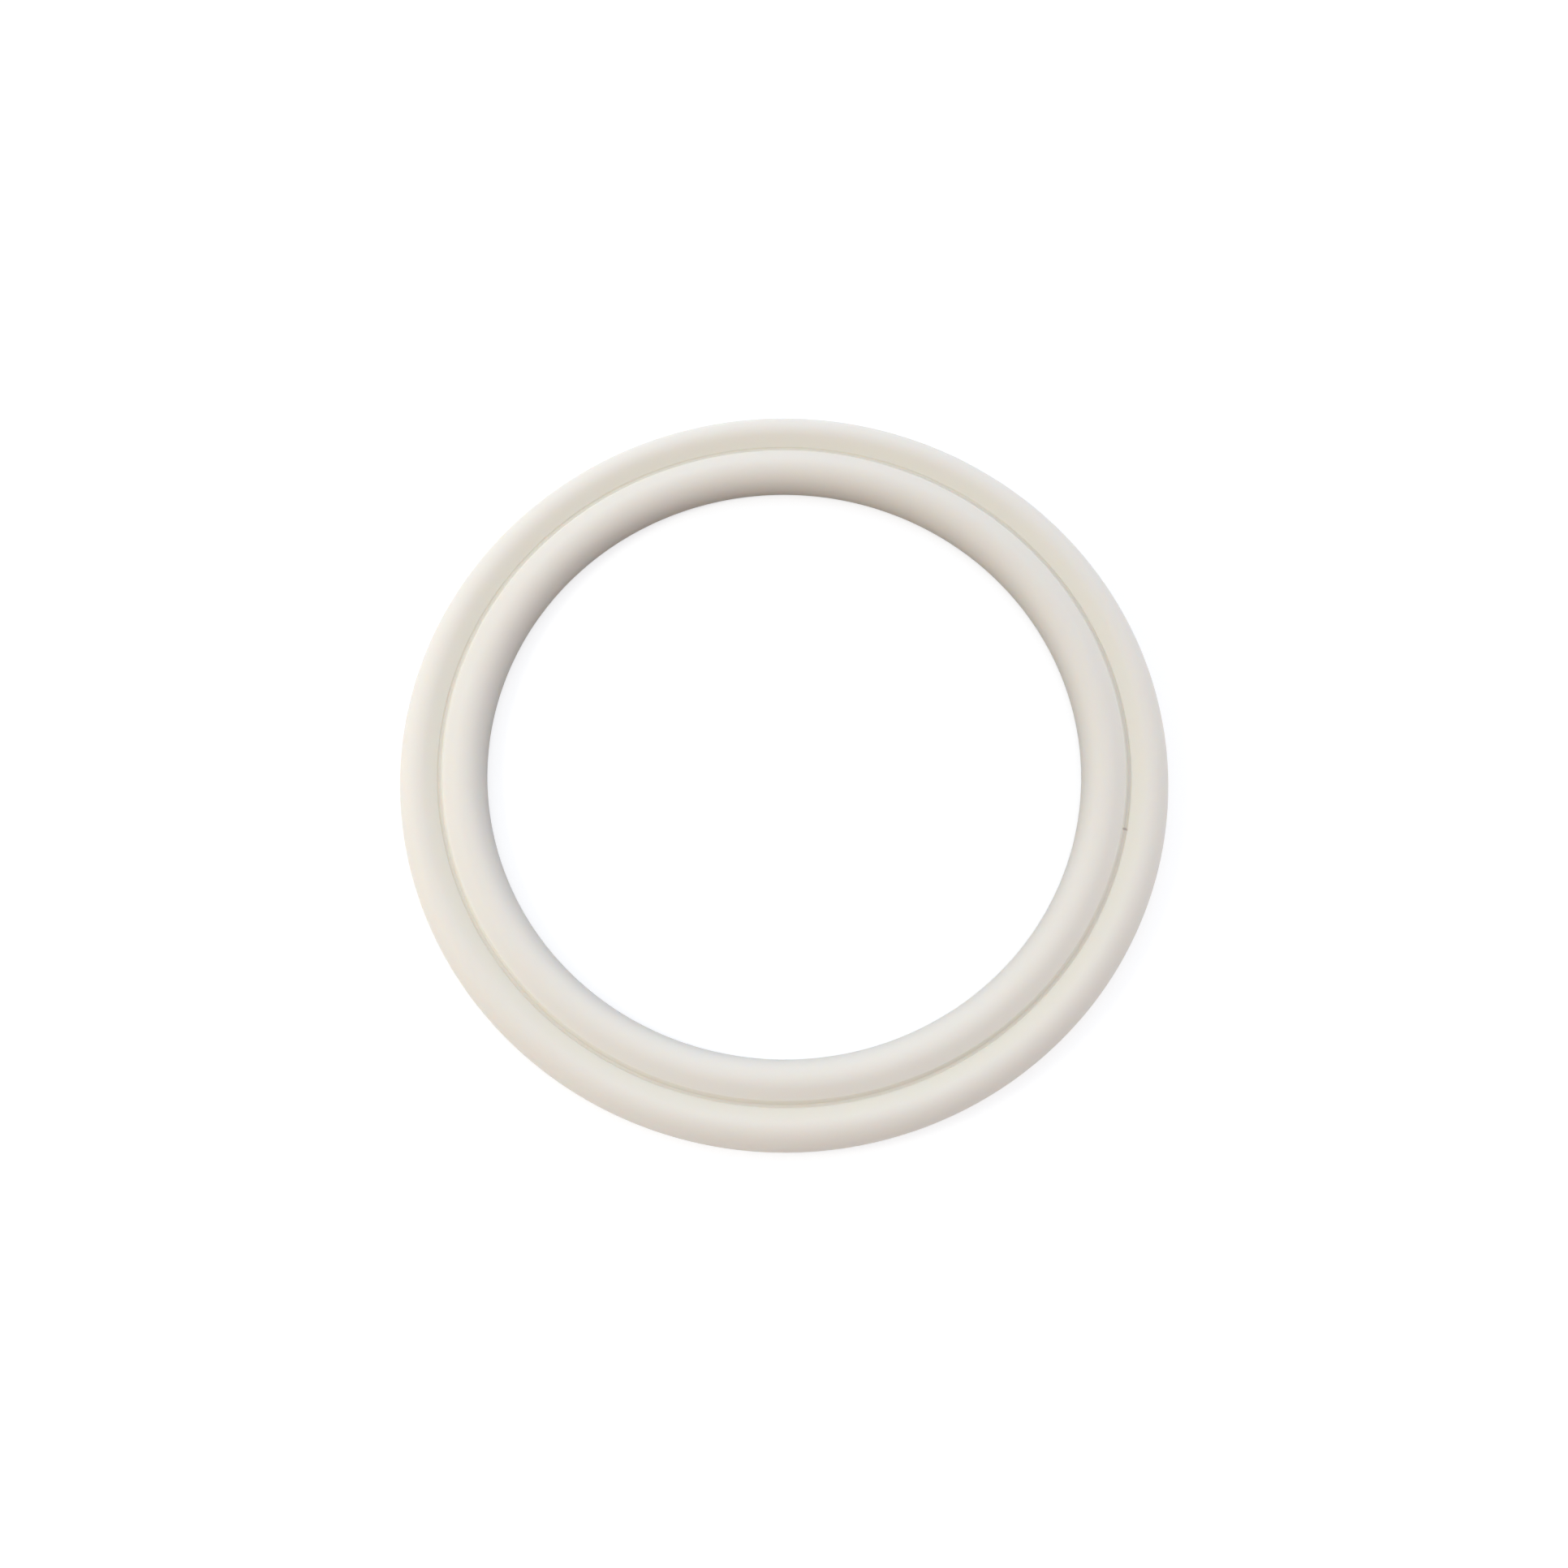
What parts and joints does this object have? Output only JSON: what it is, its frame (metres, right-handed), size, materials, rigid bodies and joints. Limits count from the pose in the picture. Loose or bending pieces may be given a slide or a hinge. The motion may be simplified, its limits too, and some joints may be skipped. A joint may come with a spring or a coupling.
{
  "type": "double-bead seal ring",
  "caption": "One-piece moulded rubber seal ring: two round beads whose straight flanks face a narrow groove, the outer bead slightly lower, on a flat underside.",
  "frame": {"origin": "centre of the bore in the plane of the flat underside", "axes": "+Z along the ring's axis, from the underside towards the beads; +X to the right and +Y away from the viewer of the picture"},
  "size_m": [0.074, 0.074, 0.0027],
  "materials": {
    "silicone_rubber": "smooth satin, off-white"
  },
  "bodies": {
    "root": {"seal_ring": "silicone_rubber"}
  },
  "joints": []
}
